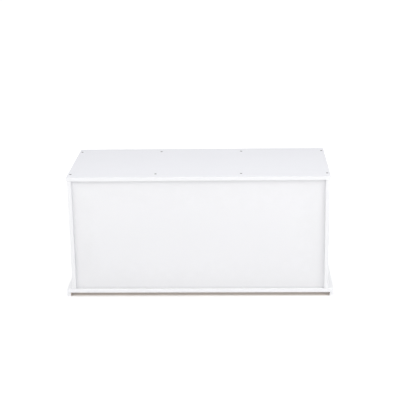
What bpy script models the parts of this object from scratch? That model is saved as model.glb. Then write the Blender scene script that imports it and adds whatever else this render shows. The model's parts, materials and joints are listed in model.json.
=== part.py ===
"""Wooden toy box: a low white cabinet on two foot rails, with three pull-out bins.

Metres, +Z up. The origin is under the middle of the cabinet, on the floor. The closed side,
with the recessed panel, faces -Y, and the bins slide out along +Y. Left is -X.
"""

import math

import bmesh
import bpy
from mathutils import Vector

# Cabinet
BOARD = 0.012            # thickness of every cabinet board
DEPTH = 0.345            # front to back, the same for the top, the sides and the base
BODY_WIDTH = 0.796       # over the two side boards
TOP_WIDTH = 0.802        # the top stands 3 mm proud of each side
BASE_WIDTH = 0.830       # the base stands 17 mm proud of each side
INSIDE_HEIGHT = 0.350    # from the base board to the top board
RAIL = 0.012             # width and height of a foot rail
COMPARTMENTS = 3
ARRIS = 0.0006           # the sandpapered corner along every board edge
GAP = 0.0003             # clearance between two solids that touch

# Closed panel, held in a groove all round
PANEL = 0.003
PANEL_SETBACK = 0.008    # from the boards' edges to the panel's face
PANEL_TONGUE = 0.0055    # how far the panel reaches into its groove
GROOVE_DEPTH = 0.006

# Screws, as (head radius, head height, shank radius, length)
CABINET_SCREW = (0.0040, 0.0024, 0.00175, 0.040)
RAIL_SCREW = (0.0035, 0.0020, 0.00150, 0.018)
BIN_SCREW = (0.0035, 0.0020, 0.00150, 0.030)
SCREW_SETBACK = 0.037    # from a board's front or back edge to a screw
SINK = 0.0002            # how far a head lies below the surface
TIP = 0.0025             # length of a screw's point
SCREW_STEPS = 12

# Bins
BIN_SIDE_CLEARANCE = 0.002
BIN_FLOOR_CLEARANCE = 0.0005
BIN_HEIGHT = 0.318
BIN_INSET = 0.0025       # from the cabinet's front edges to a bin's face
BIN_BACK_CLEARANCE = 0.006
BIN_FRONT = 0.012
BIN_WALL = 0.009
BIN_BOTTOM = 0.004
BIN_BOTTOM_LIFT = 0.006  # from a bin's lower edges to its bottom board
BIN_TONGUE = 0.0037      # how far the bottom board reaches into its grooves
BIN_GROOVE = 0.0042
REBATE = 0.005           # depth of the steps in a bin's front that the sides are glued into
HOLE_WIDTH = 0.092       # finger hole
HOLE_HEIGHT = 0.032
HOLE_DROP = 0.046        # from a bin's top edge to the middle of its finger hole
HOLE_ROUND = 0.0025      # rounding of the finger hole's two rims
HOLE_ROUND_STEPS = 3
HOLE_STEPS = 42          # an odd half, so that no point lies on the slot's middle line

# Places that follow from the sizes above
FRONT_Y = DEPTH / 2
BACK_Y = -DEPTH / 2
BASE_TOP = RAIL + BOARD
TOP_UNDER = BASE_TOP + INSIDE_HEIGHT
TOTAL_HEIGHT = TOP_UNDER + BOARD
SIDE_X = BODY_WIDTH / 2 - BOARD / 2
CLEAR_WIDTH = (BODY_WIDTH - (COMPARTMENTS + 1) * BOARD) / COMPARTMENTS
PITCH = CLEAR_WIDTH + BOARD
PANEL_Y = BACK_Y + PANEL_SETBACK
BIN_NAMES = ("left_bin", "middle_bin", "right_bin")


def clear_scene():
    for item in list(bpy.data.objects):
        bpy.data.objects.remove(item)


def new_collection(name):
    collection = bpy.data.collections.new(name)
    bpy.context.scene.collection.children.link(collection)
    return collection


def new_material(name, colour, roughness, metallic=0.0):
    material = bpy.data.materials.new(name)
    material.use_nodes = True
    shader = material.node_tree.nodes["Principled BSDF"]
    shader.inputs["Base Color"].default_value = (*colour, 1.0)
    shader.inputs["Roughness"].default_value = roughness
    shader.inputs["Metallic"].default_value = metallic
    material.diffuse_color = (*colour, 1.0)
    return material


def place(name, mesh, centre, parent, rotation=(0, 0, 0)):
    """A part of the object, in world coordinates, riding on parent if there is one."""
    piece = bpy.data.objects.new(name, mesh)
    piece.parent = parent
    piece.location = Vector(centre) - (parent.location if parent else Vector())
    piece.rotation_euler = rotation
    return piece


def add_part(name, mesh, centre, material, parent=None, rotation=(0, 0, 0)):
    part = place(name, mesh, centre, parent, rotation)
    if not mesh.materials:
        mesh.materials.append(material)
    parts.objects.link(part)
    return part


def add_cutter(name, mesh, centre, parent=None, rotation=(0, 0, 0)):
    cutter = place(name, mesh, centre, parent, rotation)
    cutter.hide_render = True
    cutter.display_type = "WIRE"
    cutters.objects.link(cutter)
    return cutter


def box_mesh(name, low, high):
    mesh = bpy.data.meshes.new(name)
    shape = bmesh.new()
    bmesh.ops.create_cube(shape, size=1.0)
    bmesh.ops.scale(shape, vec=Vector(high) - Vector(low), verts=shape.verts)
    shape.to_mesh(mesh)
    shape.free()
    return mesh


def add_board(name, low, high, material, parent=None):
    """A board from its lowest to its highest corner, with its edges eased."""
    centre = (Vector(low) + Vector(high)) / 2
    board = add_part(name, box_mesh(name, low, high), centre, material, parent)
    arris = board.modifiers.new("arris", "BEVEL")
    arris.width = ARRIS
    arris.segments = 1
    return board


def cut(board, cutter):
    boolean = board.modifiers.new(cutter.name, "BOOLEAN")
    boolean.operation = "DIFFERENCE"
    boolean.solver = "EXACT"
    boolean.object = cutter


def cut_box(board, name, low, high, parent=None):
    centre = (Vector(low) + Vector(high)) / 2
    cut(board, add_cutter(name, box_mesh(name, low, high), centre, parent))


def turned_mesh(name, outline, steps):
    """A half outline of (radius, height) points, from its top to its bottom, turned about Z."""
    profile = bpy.data.meshes.new(name)
    edges = [(i, i + 1) for i in range(len(outline) - 1)]
    profile.from_pydata([(radius, 0, height) for radius, height in outline], edges, [])
    lathe = bpy.data.objects.new(name, profile)
    bpy.context.scene.collection.objects.link(lathe)
    turn = lathe.modifiers.new("turn", "SCREW")
    turn.steps = steps
    turn.render_steps = steps
    turn.use_merge_vertices = True
    turn.merge_threshold = 0.00001
    graph = bpy.context.evaluated_depsgraph_get()
    mesh = bpy.data.meshes.new_from_object(lathe.evaluated_get(graph))
    bpy.data.objects.remove(lathe)
    mesh.shade_smooth()
    mesh.set_sharp_from_angle(angle=math.radians(35))
    return mesh


def screw_meshes(name, size):
    """A countersunk screw with its head's face at Z = 0, and the hole that clears it."""
    head, head_height, shank, length = size
    screw = [
        (0, 0),
        (head, 0),
        (shank, -head_height),
        (shank, TIP - length),
        (0, -length),
    ]
    hole = [
        (0, 2 * GAP),
        (head + GAP, 2 * GAP),
        (head + GAP, 0),
        (shank + GAP, -head_height),
        (shank + GAP, -length - GAP),
        (0, -length - GAP),
    ]
    return (
        turned_mesh(name, screw, SCREW_STEPS),
        turned_mesh(name + "_hole", hole, SCREW_STEPS),
    )


def fasten(name, meshes, point, rotation, boards, parent=None):
    """A screw whose head's face is at point, and its hole in each board that it goes through."""
    screw, hole = meshes
    add_part(name, screw, point, steel, parent, rotation)
    cutter = add_cutter(name + "_hole", hole, point, parent, rotation)
    for board in boards:
        cut(board, cutter)


def build_boards():
    """The boards of the cabinet, by name, with the grooves for the panel cut."""
    boards = {
        "top_board": add_board(
            "top_board",
            (-TOP_WIDTH / 2, BACK_Y, TOP_UNDER),
            (TOP_WIDTH / 2, FRONT_Y, TOTAL_HEIGHT),
            paint,
        ),
        "base_board": add_board(
            "base_board",
            (-BASE_WIDTH / 2, BACK_Y, RAIL),
            (BASE_WIDTH / 2, FRONT_Y, BASE_TOP),
            paint,
        ),
    }
    uprights = (
        ("left_side", -SIDE_X, BACK_Y),
        ("left_divider", -PITCH / 2, PANEL_Y + PANEL + 2 * GAP),
        ("right_divider", PITCH / 2, PANEL_Y + PANEL + 2 * GAP),
        ("right_side", SIDE_X, BACK_Y),
    )
    for name, x, back in uprights:
        boards[name] = add_board(
            name,
            (x - BOARD / 2, back, BASE_TOP + GAP),
            (x + BOARD / 2, FRONT_Y, TOP_UNDER - GAP),
            paint,
        )
    return boards


def build_panel(boards):
    """The thin panel that closes the -Y side, and its groove in the four boards round it."""
    half_width = BODY_WIDTH / 2 - BOARD
    add_board(
        "back_panel",
        (-half_width - PANEL_TONGUE, PANEL_Y, BASE_TOP - PANEL_TONGUE),
        (half_width + PANEL_TONGUE, PANEL_Y + PANEL, TOP_UNDER + PANEL_TONGUE),
        hardboard,
    )
    low = Vector((-half_width - GROOVE_DEPTH, PANEL_Y - GAP, BASE_TOP - GROOVE_DEPTH))
    high = Vector((half_width + GROOVE_DEPTH, PANEL_Y + PANEL + GAP, TOP_UNDER + GROOVE_DEPTH))
    over = Vector((0, 0, 2 * BOARD))
    for name in ("top_board", "base_board"):
        cut_box(boards[name], name + "_groove", low, high)
    for name in ("left_side", "right_side"):
        cut_box(boards[name], name + "_groove", low - over, high + over)


def build_rails(boards):
    """The two strips under the ends of the base board that the toy box stands on."""
    meshes = screw_meshes("rail_screw", RAIL_SCREW)
    for name, side in (("left", -1), ("right", 1)):
        middle = side * (BASE_WIDTH - RAIL) / 2
        rail = add_board(
            name + "_foot_rail",
            (middle - RAIL / 2, BACK_Y, 0),
            (middle + RAIL / 2, FRONT_Y, RAIL - GAP),
            paint,
        )
        for place_name, y in (("back", BACK_Y + SCREW_SETBACK), ("middle", 0),
                              ("front", FRONT_Y - SCREW_SETBACK)):
            fasten(
                f"{name}_rail_screw_{place_name}",
                meshes,
                (middle, y, SINK),
                (math.pi, 0, 0),
                (rail, boards["base_board"]),
            )


def build_cabinet_screws(boards):
    """Four pairs of screws through the top and four through the base, one pair to an upright."""
    meshes = screw_meshes("cabinet_screw", CABINET_SCREW)
    levels = (
        ("top", "top_board", TOTAL_HEIGHT - SINK, (0, 0, 0)),
        ("base", "base_board", RAIL + SINK, (math.pi, 0, 0)),
    )
    columns = (
        ("left_side", -SIDE_X),
        ("left_divider", -PITCH / 2),
        ("right_divider", PITCH / 2),
        ("right_side", SIDE_X),
    )
    rows = (("back", BACK_Y + SCREW_SETBACK), ("front", FRONT_Y - SCREW_SETBACK))
    for level, board, z, rotation in levels:
        for upright, x in columns:
            for row, y in rows:
                fasten(
                    f"{level}_screw_{upright}_{row}",
                    meshes,
                    (x, y, z),
                    rotation,
                    (boards[board], boards[upright]),
                )


def finger_hole_mesh():
    """A round plug with a rounded flare at both ends, pulled apart into a slot along X."""
    radius = HOLE_HEIGHT / 2
    half = BIN_FRONT / 2
    rim = []
    for step in range(HOLE_ROUND_STEPS + 1):
        angle = math.pi / 2 * step / HOLE_ROUND_STEPS
        rim.append((
            radius + HOLE_ROUND * (1 - math.sin(angle)),
            half - HOLE_ROUND * (1 - math.cos(angle)),
        ))
    other_rim = [(distance, -height) for distance, height in reversed(rim)]
    widest = radius + HOLE_ROUND
    outline = [(0, 2 * half), (widest, 2 * half)] + rim
    outline += other_rim + [(widest, -2 * half), (0, -2 * half)]
    mesh = turned_mesh("finger_hole", outline, HOLE_STEPS)
    stretch = (HOLE_WIDTH - HOLE_HEIGHT) / 2
    for vertex in mesh.vertices:
        vertex.co.x += math.copysign(stretch, vertex.co.x)
    return mesh


def build_bin(name, middle, screw, finger_hole):
    """One bin: a front with a finger hole, two sides, a back and a let-in bottom."""
    slide = bpy.data.objects.new(name + "_slide", None)
    slide.location = (middle, 0, BASE_TOP)
    parts.objects.link(slide)

    half = CLEAR_WIDTH / 2 - BIN_SIDE_CLEARANCE
    inner = half - BIN_WALL
    low = BASE_TOP + BIN_FLOOR_CLEARANCE
    high = low + BIN_HEIGHT
    face = FRONT_Y - BIN_INSET
    front_inner = face - BIN_FRONT
    rear = PANEL_Y + PANEL + BIN_BACK_CLEARANCE
    back_inner = rear + BIN_WALL

    front = add_board(
        name + "_front",
        (middle - half, front_inner, low),
        (middle + half, face, high),
        paint,
        slide,
    )
    back = add_board(
        name + "_back",
        (middle - half, rear, low),
        (middle + half, back_inner, high),
        paint,
        slide,
    )
    sides = {}
    for side_name, side in (("left", -1), ("right", 1)):
        outer_x = middle + side * half
        inner_x = middle + side * inner
        sides[side_name] = add_board(
            f"{name}_{side_name}_side",
            (min(outer_x, inner_x), back_inner + GAP, low),
            (max(outer_x, inner_x), front_inner + REBATE - GAP, high),
            paint,
            slide,
        )
        step_inner = middle + side * (inner - GAP)
        step_outer = middle + side * (half + BIN_WALL)
        cut_box(
            front,
            f"{name}_{side_name}_rebate",
            (min(step_inner, step_outer), front_inner - BIN_WALL, low - BIN_WALL),
            (max(step_inner, step_outer), front_inner + REBATE, high + BIN_WALL),
            slide,
        )
        for level, z in (("low", low + SCREW_SETBACK), ("high", high - SCREW_SETBACK)):
            fasten(
                f"{name}_screw_{side_name}_{level}",
                screw,
                ((outer_x + inner_x) / 2, rear + SINK, z),
                (math.pi / 2, 0, 0),
                (back, sides[side_name]),
                slide,
            )

    bottom_z = low + BIN_BOTTOM_LIFT
    add_board(
        name + "_bottom",
        (middle - inner - BIN_TONGUE, back_inner - BIN_TONGUE, bottom_z),
        (middle + inner + BIN_TONGUE, front_inner + BIN_TONGUE, bottom_z + BIN_BOTTOM),
        plywood,
        slide,
    )
    groove_low = Vector((middle - inner - BIN_GROOVE, back_inner - BIN_GROOVE, bottom_z - GAP))
    groove_high = Vector(
        (middle + inner + BIN_GROOVE, front_inner + BIN_GROOVE, bottom_z + BIN_BOTTOM + GAP)
    )
    over = Vector((0, 2 * BIN_WALL, 0))
    for board in (front, back):
        cut_box(board, board.name + "_groove", groove_low, groove_high, slide)
    for board in sides.values():
        cut_box(board, board.name + "_groove", groove_low - over, groove_high + over, slide)

    hole_centre = (middle, (face + front_inner) / 2, high - HOLE_DROP)
    rotation = (math.pi / 2, 0, 0)
    cut(front, add_cutter(name + "_finger_hole", finger_hole, hole_centre, slide, rotation))


def build_bins():
    screw = screw_meshes("bin_screw", BIN_SCREW)
    finger_hole = finger_hole_mesh()
    for index, name in enumerate(BIN_NAMES):
        middle = (index - (COMPARTMENTS - 1) / 2) * PITCH
        build_bin(name, middle, screw, finger_hole)


clear_scene()
parts = new_collection("wooden_toy_box")
cutters = new_collection("cutters")
paint = new_material("white_paint", (0.86, 0.86, 0.87), 0.42)
hardboard = new_material("white_faced_hardboard", (0.80, 0.80, 0.82), 0.30)
plywood = new_material("birch_plywood", (0.66, 0.50, 0.33), 0.55)
steel = new_material("zinc_plated_steel", (0.62, 0.63, 0.65), 0.32, 1.0)
cabinet_boards = build_boards()
build_panel(cabinet_boards)
build_rails(cabinet_boards)
build_cabinet_screws(cabinet_boards)
build_bins()
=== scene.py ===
import json
import math

import bmesh
import bpy
from mathutils import Matrix, Vector

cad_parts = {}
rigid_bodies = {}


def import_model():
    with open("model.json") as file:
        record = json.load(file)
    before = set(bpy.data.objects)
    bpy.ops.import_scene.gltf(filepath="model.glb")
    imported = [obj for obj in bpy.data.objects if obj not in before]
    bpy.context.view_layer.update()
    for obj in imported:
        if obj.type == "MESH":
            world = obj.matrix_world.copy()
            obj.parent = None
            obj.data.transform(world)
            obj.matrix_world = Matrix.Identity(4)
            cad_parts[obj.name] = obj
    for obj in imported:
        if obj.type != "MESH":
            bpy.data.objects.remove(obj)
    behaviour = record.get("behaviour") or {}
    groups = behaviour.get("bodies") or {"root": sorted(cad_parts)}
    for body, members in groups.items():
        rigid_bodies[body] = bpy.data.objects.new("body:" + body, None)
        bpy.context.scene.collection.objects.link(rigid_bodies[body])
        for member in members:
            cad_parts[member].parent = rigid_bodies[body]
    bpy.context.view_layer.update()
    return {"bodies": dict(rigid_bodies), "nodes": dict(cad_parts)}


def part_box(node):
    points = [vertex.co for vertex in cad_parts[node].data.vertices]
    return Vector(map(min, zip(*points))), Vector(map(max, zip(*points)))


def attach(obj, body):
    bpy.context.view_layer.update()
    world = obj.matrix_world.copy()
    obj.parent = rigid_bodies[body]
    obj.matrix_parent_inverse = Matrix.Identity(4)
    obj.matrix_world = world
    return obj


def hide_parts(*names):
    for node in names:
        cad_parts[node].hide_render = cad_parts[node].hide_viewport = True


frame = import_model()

nodes = frame["nodes"]

camera = {
    "lens": 100.55,                      # millimetres
    "place": (0.1384, -3.4155, 1.3008),
    "turn": (73.072, 0.948, 2.056),      # degrees
}


def addCamera():
    data = bpy.data.cameras.new("camera")
    data.lens = camera["lens"]
    item = bpy.data.objects.new("camera", data)
    item.location = camera["place"]
    item.rotation_euler = [math.radians(angle) for angle in camera["turn"]]
    bpy.context.scene.collection.objects.link(item)
    bpy.context.scene.camera = item


addCamera()
print("camera placed")

studio = {
    "sky": 0.40,            # soft light from all round
    "background": 1.0,      # how bright the empty studio looks
    "lamps": {
        # name: (width and height, place, aim, power)
        "key": ((2.6, 1.4), (0.6, -1.9, 2.6), (0.0, 0.0, 0.2), 9.0),
        "keyLeft": ((1.6, 1.6), (-1.6, -1.6, 2.4), (0.0, 0.0, 0.2), 25.0),
        "overFront": ((1.8, 0.8), (0.3, -0.95, 1.9), (0.0, 0.0, 0.3), 2.9),
        "overRight": ((0.9, 0.9), (1.3, -0.95, 1.7), (0.1, 0.0, 0.3), 4.9),
        "fillLeft": ((1.2, 1.6), (-2.6, -1.4, 1.1), (0.0, 0.0, 0.2), 2.3),
        "fillRight": ((1.2, 1.6), (2.6, -1.4, 1.1), (0.0, 0.0, 0.2), 14.0),
        "sideLeft": ((1.4, 1.0), (-2.6, 0.5, 1.0), (-0.2, 0.0, 0.1), 4.5),
        "sideRight": ((1.4, 1.0), (2.6, 0.5, 1.0), (0.2, 0.0, 0.1), 4.5),
        "frontLow": ((2.0, 1.0), (0.1, -4.2, 0.9), (0.0, 0.0, 0.2), 5.0),
        "back": ((2.4, 1.2), (0.0, 2.6, 2.2), (0.0, 0.0, 0.3), 29.0),
    },
}


def addLamp(name, size, place, aim, power):
    data = bpy.data.lights.new(name, "AREA")
    data.shape = "RECTANGLE"
    data.size, data.size_y = size
    data.energy = power
    lamp = bpy.data.objects.new(name, data)
    lamp.location = place
    lamp.rotation_euler = (Vector(aim) - Vector(place)).to_track_quat("-Z", "Y").to_euler()
    bpy.context.scene.collection.objects.link(lamp)


def addSky():
    world = bpy.data.worlds.new("studio")
    world.use_nodes = True
    tree = world.node_tree
    light = tree.nodes["Background"]
    light.inputs["Color"].default_value = (1, 1, 1, 1)
    light.inputs["Strength"].default_value = studio["sky"]
    seen = tree.nodes.new("ShaderNodeBackground")
    seen.inputs["Color"].default_value = (1, 1, 1, 1)
    seen.inputs["Strength"].default_value = studio["background"]
    rays = tree.nodes.new("ShaderNodeLightPath")
    choice = tree.nodes.new("ShaderNodeMixShader")
    tree.links.new(rays.outputs["Is Camera Ray"], choice.inputs["Fac"])
    tree.links.new(light.outputs[0], choice.inputs[1])
    tree.links.new(seen.outputs[0], choice.inputs[2])
    tree.links.new(choice.outputs[0], tree.nodes["World Output"].inputs["Surface"])
    bpy.context.scene.world = world


addSky()
for lampName, lampPlan in studio["lamps"].items():
    addLamp(lampName, *lampPlan)
bpy.context.scene.view_settings.view_transform = "Standard"
print("studio lit")


# Small helpers for shader nodes: a value that is a socket is linked, any other is set.
def plug(tree, value, socket):
    if isinstance(value, bpy.types.NodeSocket):
        tree.links.new(value, socket)
    else:
        socket.default_value = value


def calc(tree, operation, *values):
    node = tree.nodes.new("ShaderNodeMath")
    node.operation = operation
    for value, socket in zip(values, node.inputs):
        plug(tree, value, socket)
    return node.outputs[0]


def calcVector(tree, operation, *values):
    node = tree.nodes.new("ShaderNodeVectorMath")
    node.operation = operation
    for value, socket in zip(values, node.inputs):
        plug(tree, value, socket)
    return node.outputs["Value" if operation in ("DOT_PRODUCT", "LENGTH") else "Vector"]


def remap(tree, value, fromLow, fromHigh, toLow, toHigh, smooth=False):
    node = tree.nodes.new("ShaderNodeMapRange")
    node.interpolation_type = "SMOOTHSTEP" if smooth else "LINEAR"
    for setting, socket in zip((value, fromLow, fromHigh, toLow, toHigh), node.inputs):
        plug(tree, setting, socket)
    return node.outputs["Result"]


def noise(tree, vector, scale, detail=2.0, roughness=0.5):
    node = tree.nodes.new("ShaderNodeTexNoise")
    plug(tree, vector, node.inputs["Vector"])
    plug(tree, scale, node.inputs["Scale"])
    node.inputs["Detail"].default_value = detail
    node.inputs["Roughness"].default_value = roughness
    return node.outputs["Fac"]


def stretch(tree, vector, scale):
    node = tree.nodes.new("ShaderNodeMapping")
    plug(tree, vector, node.inputs["Vector"])
    plug(tree, scale, node.inputs["Scale"])
    return node.outputs["Vector"]


# The kind is RGBA for colours, FLOAT for numbers and VECTOR for normals.
def mix(tree, kind, factor, first, second):
    node = tree.nodes.new("ShaderNodeMix")
    node.data_type = kind
    plug(tree, factor, node.inputs["Factor"])
    plug(tree, first, node.inputs["A"])
    plug(tree, second, node.inputs["B"])
    return node.outputs["Result"]


def bump(tree, height, distance):
    node = tree.nodes.new("ShaderNodeBump")
    plug(tree, height, node.inputs["Height"])
    plug(tree, distance, node.inputs["Distance"])
    return node.outputs["Normal"]


def coordinates(tree, kind="Object"):
    return tree.nodes.new("ShaderNodeTexCoord").outputs[kind]


# Inputs come with their first values: four numbers are a colour, and three a vector.
def startGroup(name, inputs, outputs):
    group = bpy.data.node_groups.new(name, "ShaderNodeTree")
    for title, value in inputs.items():
        kind = "Float"
        if isinstance(value, tuple):
            kind = "Color" if len(value) == 4 else "Vector"
        socket = group.interface.new_socket(title, in_out="INPUT", socket_type="NodeSocket" + kind)
        socket.default_value = value
    for title, kind in outputs.items():
        group.interface.new_socket(title, in_out="OUTPUT", socket_type="NodeSocket" + kind)
    given = group.nodes.new("NodeGroupInput").outputs
    result = group.nodes.new("NodeGroupOutput").inputs
    return group, given, result


def useGroup(tree, group, values):
    node = tree.nodes.new("ShaderNodeGroup")
    node.node_tree = group
    for title, value in values.items():
        plug(tree, value, node.inputs[title])
    return node.outputs


def startMaterial(name):
    material = bpy.data.materials.new(name)
    material.use_nodes = True
    tree = material.node_tree
    return material, tree, tree.nodes["Principled BSDF"].inputs


def plugFinish(tree, shader, colour, roughness, normal):
    plug(tree, colour, shader["Base Color"])
    plug(tree, roughness, shader["Roughness"])
    plug(tree, normal, shader["Normal"])


def giveMaterial(name, material):
    materials = nodes[name].data.materials
    materials.clear()
    materials.append(material)


cornerPlan = {
    "unevenScale": 45.0,
    "unevenShare": (0.6, 1.4),     # how much the reach varies along a corner
}


# 1 along the corners of a board, and 0 from a short reach inwards.
def makeCornerGroup():
    group, given, result = startGroup(
        "boardCorners",
        {"Centre": (0.0, 0.0, 0.0), "Half Size": (1.0, 1.0, 1.0), "Reach": 0.002},
        {"Mask": "Float"},
    )
    spot = coordinates(group)
    away = calcVector(group, "ABSOLUTE", calcVector(group, "SUBTRACT", spot, given["Centre"]))
    inside = calcVector(group, "SUBTRACT", given["Half Size"], away)
    parts = group.nodes.new("ShaderNodeSeparateXYZ")
    plug(group, inside, parts.inputs[0])
    x, y, z = parts.outputs
    # of the three distances the smallest is to the face itself and the middle one to its nearest corner
    lower = calc(group, "MINIMUM", x, y)
    upper = calc(group, "MAXIMUM", x, y)
    nearest = calc(group, "MAXIMUM", lower, calc(group, "MINIMUM", upper, z))
    wander = noise(group, spot, cornerPlan["unevenScale"], 3.0)
    uneven = remap(group, wander, 0.3, 0.7, *cornerPlan["unevenShare"])
    reach = calc(group, "MULTIPLY", given["Reach"], uneven)
    plug(group, remap(group, nearest, 0.0, reach, 1.0, 0.0, smooth=True), result["Mask"])
    return group


facingPlan = {"from": 0.75, "to": 0.9}     # cosines between which a mask goes from 0 to 1


# Which way a face looks: 1 where it looks along the axis, and the same for either way along it.
def makeFacingGroup():
    group, given, result = startGroup(
        "faceDirection",
        {"Axis": (0.0, 0.0, 1.0)},
        {"Toward": "Float", "Either Way": "Float"},
    )
    along = calcVector(group, "DOT_PRODUCT", coordinates(group, "Normal"), given["Axis"])
    either = calc(group, "ABSOLUTE", along)
    for value, socket in ((along, result["Toward"]), (either, result["Either Way"])):
        mask = remap(group, value, facingPlan["from"], facingPlan["to"], 0.0, 1.0, smooth=True)
        plug(group, mask, socket)
    return group


lacquerPlan = {
    "driftScale": 3.0,             # scales are features to a metre
    "smudgeScale": 16.0,
    "smudgeSpread": (0.42, 0.75),
    "peelScale": 650.0,
    "nibScale": 70.0,
    "nibSize": 0.035,
    "nibHeight": 2.5,              # next to the orange peel
    "waveScale": 7.0,
}


# Sprayed lacquer: slow drift in its tone, faint handling smudges, orange peel and a few nibs of dust.
def makeLacquerGroup():
    group, given, result = startGroup(
        "sprayedLacquer",
        {
            "Colour": (0.8, 0.8, 0.8, 1.0),
            "Drift": 0.02,
            "Gloss Roughness": 0.4,
            "Smudge": 0.08,
            "Peel": 0.00002,
            "Wave": 0.0002,
        },
        {"Colour": "Color", "Roughness": "Float", "Normal": "Vector"},
    )
    spot = coordinates(group)
    slow = noise(group, spot, lacquerPlan["driftScale"], 3.0)
    shade = calc(group, "MULTIPLY_ADD", calc(group, "SUBTRACT", slow, 0.5), given["Drift"], 1.0)
    toned = calcVector(group, "MULTIPLY", given["Colour"], shade)
    plug(group, toned, result["Colour"])

    smudges = noise(group, spot, lacquerPlan["smudgeScale"], 5.0, 0.6)
    smudges = remap(group, smudges, *lacquerPlan["smudgeSpread"], 0.0, 1.0)
    rougher = calc(group, "MULTIPLY_ADD", smudges, given["Smudge"], given["Gloss Roughness"])
    plug(group, rougher, result["Roughness"])

    peel = noise(group, spot, lacquerPlan["peelScale"], 2.0)
    nibs = group.nodes.new("ShaderNodeTexVoronoi")
    nibs.inputs["Scale"].default_value = lacquerPlan["nibScale"]
    plug(group, spot, nibs.inputs["Vector"])
    nib = remap(group, nibs.outputs["Distance"], 0.0, lacquerPlan["nibSize"],
                lacquerPlan["nibHeight"], 0.0, smooth=True)
    height = calc(group, "MULTIPLY", calc(group, "ADD", peel, nib), given["Peel"])
    wave = noise(group, spot, lacquerPlan["waveScale"], 1.0)
    wave = calc(group, "MULTIPLY", wave, given["Wave"])
    plug(group, bump(group, calc(group, "ADD", height, wave), 1.0), result["Normal"])
    return group


fibrePlan = {
    "fibreScale": 260.0,
    "fibreStretch": 6.0,           # how many times longer than wide
    "fibreDepth": 0.00015,         # metres
    "blotchScale": 22.0,
    "fleckScale": 420.0,
    "fleckShade": 0.55,
}


# Bare wood fibre board: pressed blotches, fine fibres lying every way and a few dark flecks.
def makeFibreGroup():
    group, given, result = startGroup(
        "bareFibre",
        {"Colour": (0.30, 0.19, 0.11, 1.0), "Roughness": 0.85},
        {"Colour": "Color", "Roughness": "Float", "Normal": "Vector"},
    )
    spot = coordinates(group)
    ratio = fibrePlan["fibreStretch"]
    layers = [noise(group, stretch(group, spot, scale), fibrePlan["fibreScale"], 3.0)
              for scale in ((1.0, ratio, ratio), (ratio, 1.0, ratio))]
    fibres = calc(group, "MAXIMUM", *layers)
    blotches = noise(group, spot, fibrePlan["blotchScale"], 4.0)
    tone = calc(group, "ADD", remap(group, fibres, 0.4, 0.75, 0.78, 1.18),
                remap(group, blotches, 0.3, 0.7, -0.10, 0.10))
    flecks = noise(group, spot, fibrePlan["fleckScale"], 2.0)
    flecks = remap(group, flecks, 0.66, 0.74, 1.0, fibrePlan["fleckShade"])
    shaded = calcVector(group, "MULTIPLY", given["Colour"], calc(group, "MULTIPLY", tone, flecks))
    plug(group, shaded, result["Colour"])
    plug(group, calc(group, "MULTIPLY_ADD", fibres, 0.12, given["Roughness"]), result["Roughness"])
    plug(group, bump(group, fibres, fibrePlan["fibreDepth"]), result["Normal"])
    return group


cornerGroup = makeCornerGroup()
facingGroup = makeFacingGroup()
lacquerGroup = makeLacquerGroup()
fibreGroup = makeFibreGroup()
print("shared effects built")

floorPlan = {
    "halfSize": 30.0,
    "albedo": 0.9,
    "mottle": 0.985,   # how dark its darker spots are
    "glowNear": 0.27,
    "glowFar": 0.70,
    "near": 0.9,       # metres from the middle where the glow starts to grow
    "far": 3.2,
    "gapReach": 0.02,  # metres within which a neighbour takes light from the floor
    "gapShade": 0.45,
}


def addFloor():
    mesh = bpy.data.meshes.new("floor")
    shape = bmesh.new()
    bmesh.ops.create_grid(shape, x_segments=1, y_segments=1, size=floorPlan["halfSize"])
    shape.to_mesh(mesh)
    shape.free()
    floor = bpy.data.objects.new("floor", mesh)
    bpy.context.scene.collection.objects.link(floor)
    material, tree, shader = startMaterial("paleFloor")
    spot = coordinates(tree)
    mottle = remap(tree, noise(tree, spot, 2.0, 3.0), 0.3, 0.7, floorPlan["mottle"], 1.0)
    tone = calc(tree, "MULTIPLY", mottle, floorPlan["albedo"])
    colour = tree.nodes.new("ShaderNodeCombineColor")
    for socket in colour.inputs[:3]:
        plug(tree, tone, socket)
    plug(tree, colour.outputs[0], shader["Base Color"])
    shader["Roughness"].default_value = 0.9
    shader["Specular IOR Level"].default_value = 0.2
    # the floor glows, a painted light standing in for the studio's light on it, growing further out
    away = calcVector(tree, "LENGTH", spot)
    glow = remap(tree, away, floorPlan["near"], floorPlan["far"],
                 floorPlan["glowNear"], floorPlan["glowFar"], smooth=True)
    shader["Emission Color"].default_value = (1, 1, 1, 1)
    # painted shade: less glow in narrow gaps, where little of the studio's light gets in
    openness = tree.nodes.new("ShaderNodeAmbientOcclusion")
    openness.samples = 8
    openness.inputs["Distance"].default_value = floorPlan["gapReach"]
    openShare = mix(tree, "FLOAT", floorPlan["gapShade"], 1.0, openness.outputs["AO"])
    plug(tree, calc(tree, "MULTIPLY", glow, openShare), shader["Emission Strength"])
    mesh.materials.append(material)


addFloor()
print("floor laid")


# The middle of a board, half its size, and the direction that it is thin in.
def boardFacts(name):
    low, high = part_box(name)
    size = high - low
    thin = min(range(3), key=lambda axis: size[axis])
    axis = Vector((0, 0, 0))
    axis[thin] = 1
    return (low + high) / 2, size / 2, axis


paintPlan = {
    "face": (0.807, 0.812, 0.854, 1.0),
    # painted light: the base board's face and edges are a lighter white than the same lacquer on the
    # other boards, standing in for more light on it
    "baseFace": (0.950, 0.952, 0.960, 1.0),
    "baseEdge": (0.868, 0.871, 0.893, 1.0),
    "edge": (0.829, 0.832, 0.849, 1.0),      # the edges carry one more coat than the faces
    # painted highlight: each board's corners are lightened towards this colour, as if their arrises
    # caught the light
    "corner": (0.88, 0.88, 0.89, 1.0),
    "cornerHighlightReach": 0.0016,
    "cornerHighlightAmount": 0.5,
    "roughness": 0.38,
    "smudge": 0.10,
    "drift": 0.02,
    "peel": 0.000018,
    "wave": 0.00012,
    "bare": (0.36, 0.25, 0.16, 1.0),       # the fibre board that the paint covers
}


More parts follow.
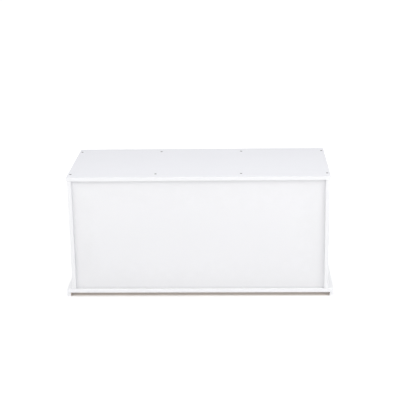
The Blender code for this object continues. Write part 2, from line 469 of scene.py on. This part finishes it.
# One coat of sprayed lacquer, with the values of a board's or the panel's plan.
def addCoat(tree, plan, colour):
    return useGroup(tree, lacquerGroup, {
        "Colour": colour,
        "Drift": plan["drift"],
        "Gloss Roughness": plan["roughness"],
        "Smudge": plan["smudge"],
        "Peel": plan["peel"],
        "Wave": plan["wave"],
    })


# White lacquer for one board. A face that looks along a direction in bareSides is left unpainted.
def paintBoard(name, face, edge, bareSides=()):
    centre, halfSize, thinAxis = boardFacts(name)
    material, tree, shader = startMaterial("lacquer_" + name)
    flat = useGroup(tree, facingGroup, {"Axis": tuple(thinAxis)})["Either Way"]
    corners = useGroup(tree, cornerGroup, {
        "Centre": tuple(centre),
        "Half Size": tuple(halfSize),
        "Reach": paintPlan["cornerHighlightReach"],
    })["Mask"]
    colour = mix(tree, "RGBA", flat, edge, face)
    # painted highlight along the board's corners
    corners = calc(tree, "MULTIPLY", corners, paintPlan["cornerHighlightAmount"])
    colour = mix(tree, "RGBA", corners, colour, paintPlan["corner"])
    coat = addCoat(tree, paintPlan, colour)
    colour, roughness, normal = coat["Colour"], coat["Roughness"], coat["Normal"]
    for side in bareSides:
        bare = useGroup(tree, facingGroup, {"Axis": side})["Toward"]
        fibre = useGroup(tree, fibreGroup, {"Colour": paintPlan["bare"]})
        colour = mix(tree, "RGBA", bare, colour, fibre["Colour"])
        roughness = mix(tree, "FLOAT", bare, roughness, fibre["Roughness"])
        normal = mix(tree, "VECTOR", bare, normal, fibre["Normal"])
    plugFinish(tree, shader, colour, roughness, normal)
    giveMaterial(name, material)


bareSides = {
    "base_board": [(0.0, 0.0, -1.0)],
    "left_foot_rail": [(0.0, 0.0, -1.0), (1.0, 0.0, 0.0)],
    "right_foot_rail": [(0.0, 0.0, -1.0), (-1.0, 0.0, 0.0)],
}
otherFinish = ("_screw_", "_bottom", "back_panel")
for name in nodes:
    if not any(word in name for word in otherFinish):
        # the base board takes the lighter whites of painted light
        isBase = name == "base_board"
        face = paintPlan["baseFace" if isBase else "face"]
        edge = paintPlan["baseEdge" if isBase else "edge"]
        paintBoard(name, face, edge, bareSides.get(name, ()))
print("boards painted")

panelPlan = {
    "face": (0.801, 0.801, 0.820, 1.0),
    "shaded": (0.74, 0.74, 0.75, 1.0),       # painted shade along its borders, where the boards round it shadow it
    "paintedShadeBands": ((0.008, 0.55), (0.10, 0.35)),     # how far in each band of painted shade reaches, and its amount
    "roughness": 0.30,
    "smudge": 0.14,
    "drift": 0.03,
    "peel": 0.000008,
    "wave": 0.0006,                          # thin board never lies quite flat
}


def finishPanel():
    material, tree, shader = startMaterial("whiteFacedHardboard")
    centre, halfSize = boardFacts("back_panel")[:2]
    # only what shows between the boards gets the painted shade, not the edges in the grooves
    low = Vector((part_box("left_side")[1].x, 0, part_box("base_board")[1].z))
    high = Vector((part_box("right_side")[0].x, 0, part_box("top_board")[0].z))
    middle, half = (low + high) / 2, (high - low) / 2
    # painted shade: the panel darkens in a narrow and a wide band along its visible borders
    shade = 0.0
    for reach, amount in panelPlan["paintedShadeBands"]:
        paintedShadeMask = useGroup(tree, cornerGroup, {
            "Centre": (middle.x, centre.y, middle.z),
            "Half Size": (half.x, halfSize.y, half.z),
            "Reach": reach,
        })["Mask"]
        shade = calc(tree, "MULTIPLY_ADD", paintedShadeMask, amount, shade)
    colour = mix(tree, "RGBA", shade, panelPlan["face"], panelPlan["shaded"])
    coat = addCoat(tree, panelPlan, colour)
    plugFinish(tree, shader, coat["Colour"], coat["Roughness"], coat["Normal"])
    giveMaterial("back_panel", material)


finishPanel()
print("panel finished")

plywoodPlan = {
    "light": (0.68, 0.52, 0.34, 1.0),
    "dark": (0.50, 0.35, 0.20, 1.0),
    "pore": (0.33, 0.21, 0.12, 1.0),
    "figure": 0.55,                  # how strongly the figure shows
    "rings": 60.0,                   # how closely the growth rings follow each other
    "grainStretch": (6.0, 160.0, 160.0),
    "poreStretch": (30.0, 420.0, 420.0),
    "grainDepth": 0.00008,
    "roughness": 0.47,
}


# Peeled birch: broad wavy figure along X, fine grain lines and short dark pores.
def finishBinBottoms():
    material, tree, shader = startMaterial("birchPlywood")
    spot = coordinates(tree)
    drift = noise(tree, stretch(tree, spot, (1.4, 5.0, 5.0)), 2.2, 2.0)
    rings = calc(tree, "SINE", calc(tree, "MULTIPLY", drift, plywoodPlan["rings"]))
    lines = noise(tree, stretch(tree, spot, plywoodPlan["grainStretch"]), 3.0, 4.0)
    figure = calc(tree, "ADD", remap(tree, rings, -1.0, 1.0, 0.0, 0.6),
                  remap(tree, lines, 0.3, 0.7, 0.0, 0.4))
    figure = calc(tree, "MULTIPLY", figure, plywoodPlan["figure"])
    colour = mix(tree, "RGBA", figure, plywoodPlan["light"], plywoodPlan["dark"])
    pores = noise(tree, stretch(tree, spot, plywoodPlan["poreStretch"]), 4.0, 2.0)
    pores = remap(tree, pores, 0.66, 0.74, 0.0, 0.7)
    colour = mix(tree, "RGBA", pores, colour, plywoodPlan["pore"])
    roughness = calc(tree, "MULTIPLY_ADD", lines, 0.15, plywoodPlan["roughness"])
    normal = bump(tree, calc(tree, "SUBTRACT", lines, pores), plywoodPlan["grainDepth"])
    plugFinish(tree, shader, colour, roughness, normal)
    for name in nodes:
        if name.endswith("_bottom"):
            giveMaterial(name, material)


finishBinBottoms()
print("bin bottoms finished")

screwPlan = {
    "steps": 24,
    "rim": 0.00018,            # height of the head's rounded rim
    "headHeight": 0.57,        # this and the next six are shares of the head's radius
    "shank": 0.43,
    "core": 0.30,
    "pitch": 0.50,
    "recessArm": 0.60,
    "recessWidth": 0.15,       # half the width of an arm
    "recessDepth": 0.48,
    "recessTaper": 0.45,       # the recess's floor next to its mouth
    "recessFlare": 0.8,        # an arm's tip next to its root
    "plainShare": 0.22,        # part of the length with no thread
    "threadSteps": 12,         # in one turn
    "turnStep": 37,            # degrees from one screw's cross to the next one's
    "stainScale": 500.0,
    "scratchScale": 900.0,
    "scratchDepth": 0.00002,
    "recessShadeScale": 1500.0,
    "steel": (0.15, 0.15, 0.155, 1.0),
    "steelStain": (0.075, 0.072, 0.07, 1.0),
    # painted shade: the cross recess is coloured near black
    "recess": (0.03, 0.03, 0.03, 1.0),
}


def makeScrewSteel():
    material, tree, shader = startMaterial("zincSteel")
    spot = coordinates(tree)
    stain = remap(tree, noise(tree, spot, screwPlan["stainScale"], 4.0), 0.35, 0.7, 0.0, 1.0)
    colour = mix(tree, "RGBA", stain, screwPlan["steel"], screwPlan["steelStain"])
    roughness = remap(tree, stain, 0.0, 1.0, 0.28, 0.5)
    spun = stretch(tree, spot, (1.0, 12.0, 1.0))
    scratches = noise(tree, spun, screwPlan["scratchScale"], 3.0)
    plugFinish(tree, shader, colour, roughness, bump(tree, scratches, screwPlan["scratchDepth"]))
    shader["Metallic"].default_value = 1.0
    return material


# Painted shade for the cross recess: near black, a little darker and lighter at random.
def makeRecessShade():
    material, tree, shader = startMaterial("screwRecessShade")
    spot = coordinates(tree)
    shadeVariation = remap(tree, noise(tree, spot, screwPlan["recessShadeScale"], 3.0), 0.3, 0.7, 0.5, 1.6)
    plug(tree, calcVector(tree, "MULTIPLY", screwPlan["recess"][:3], shadeVariation), shader["Base Color"])
    plug(tree, remap(tree, shadeVariation, 0.5, 1.6, 0.5, 0.8), shader["Roughness"])
    shader["Metallic"].default_value = 0.4
    return material


# The turned body of a screw with its head's face at Z = 0, point down, and a cross recess.
def shapeScrewBody(shape, head, length):
    rim = screwPlan["rim"]
    outline = [
        (head - rim, 0),
        (head - 0.3 * rim, -0.3 * rim),
        (head, -rim),
        (head * screwPlan["shank"], -head * screwPlan["headHeight"]),
        (head * screwPlan["shank"], -length * screwPlan["plainShare"]),
        (head * screwPlan["core"], -length * screwPlan["plainShare"] - rim),
        (head * screwPlan["core"], head * 0.8 - length),
        (0, -length),
    ]
    points = [shape.verts.new((radius, 0, height)) for radius, height in outline]
    lines = [shape.edges.new(pair) for pair in zip(points, points[1:])]
    bmesh.ops.spin(shape, geom=points + lines, cent=(0, 0, 0), axis=(0, 0, 1),
                   angle=2 * math.pi, steps=screwPlan["steps"], use_merge=True)
    bmesh.ops.remove_doubles(shape, verts=shape.verts, dist=0.000001)
    rimEdges = [edge for edge in shape.edges if edge.is_boundary]

    arm = head * screwPlan["recessArm"]
    width = head * screwPlan["recessWidth"]
    tip = screwPlan["recessFlare"] * width
    quarter = [Vector((width, -width, 0)), Vector((arm, -tip, 0)), Vector((arm, tip, 0))]
    cross = []
    for turn in range(4):
        spun = Matrix.Rotation(turn * math.pi / 2, 3, "Z")
        cross += [shape.verts.new(spun @ point) for point in quarter]
    crossEdges = [shape.edges.new(pair) for pair in zip(cross, cross[1:] + cross[:1])]
    bmesh.ops.triangle_fill(shape, edges=rimEdges + crossEdges, use_beauty=True, normal=(0, 0, 1))
    sunk = bmesh.ops.extrude_edge_only(shape, edges=crossEdges)["geom"]
    floorPoints = [item for item in sunk if isinstance(item, bmesh.types.BMVert)]
    floorEdges = [item for item in sunk if isinstance(item, bmesh.types.BMEdge)
                  and all(point in floorPoints for point in item.verts)]
    bmesh.ops.scale(shape, verts=floorPoints, vec=(screwPlan["recessTaper"],) * 2 + (1,))
    bmesh.ops.translate(shape, verts=floorPoints, vec=(0, 0, -head * screwPlan["recessDepth"]))
    walls = [item for item in sunk if isinstance(item, bmesh.types.BMFace)]
    bottom = bmesh.ops.edgeloop_fill(shape, edges=floorEdges)["faces"]
    # the recess walls and floor take the painted shade
    for face in walls + bottom:
        face.material_index = 1


def shapeThread(shape, head, length):
    pitch = head * screwPlan["pitch"]
    root = head * (screwPlan["core"] - 0.03)
    crest = head * screwPlan["shank"]
    start = -length * screwPlan["plainShare"] - pitch
    turns = int((length + start - head) / pitch)
    steps = turns * screwPlan["threadSteps"]
    ridge = [(root, start + 0.3 * pitch), (crest, start), (root, start - 0.3 * pitch)]
    points = [shape.verts.new((radius, 0, height)) for radius, height in ridge]
    lines = [shape.edges.new(pair) for pair in zip(points, points[1:] + points[:1])]
    bmesh.ops.spin(shape, geom=points + lines, cent=(0, 0, 0), axis=(0, 0, 1),
                   dvec=(0, 0, -pitch / screwPlan["threadSteps"]),
                   angle=2 * math.pi * turns, steps=steps)
    bmesh.ops.holes_fill(shape, edges=[edge for edge in shape.edges if edge.is_boundary], sides=3)


def addScrew(node, facing, turn, finishes):
    low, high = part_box(node)
    facing = Vector(facing)
    long = max(range(3), key=lambda axis: abs(facing[axis]))
    wide = (long + 1) % 3
    length = high[long] - low[long]
    head = (high[wide] - low[wide]) / 2
    shape = bmesh.new()
    shapeScrewBody(shape, head, length)
    shapeThread(shape, head, length)
    bmesh.ops.recalc_face_normals(shape, faces=shape.faces)
    faceMiddle = (low + high) / 2 + facing * length / 2
    place = Matrix.Translation(faceMiddle) @ facing.to_track_quat("Z", "Y").to_matrix().to_4x4()
    shape.transform(place @ Matrix.Rotation(turn, 4, "Z"))
    mesh = bpy.data.meshes.new(node + "_cross_head")
    shape.to_mesh(mesh)
    shape.free()
    for finish in finishes:
        mesh.materials.append(finish)
    mesh.shade_smooth()
    mesh.set_sharp_from_angle(angle=math.radians(35))
    screw = bpy.data.objects.new(mesh.name, mesh)
    bpy.context.scene.collection.objects.link(screw)
    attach(screw, bodyOf(node))
    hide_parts(node)


def bodyOf(node):
    for body in frame["bodies"]:
        if node.startswith(body):
            return body
    return "cabinet"


def addScrews():
    finishes = (makeScrewSteel(), makeRecessShade())
    screws = [name for name in nodes if "_screw_" in name]
    for index, name in enumerate(sorted(screws)):
        if name.startswith("top_"):
            facing = (0, 0, 1)
        elif "bin_screw" in name:
            facing = (0, -1, 0)
        else:
            facing = (0, 0, -1)
        addScrew(name, facing, math.radians(screwPlan["turnStep"] * index), finishes)
    print(len(screws), "screws turned and driven")


addScrews()
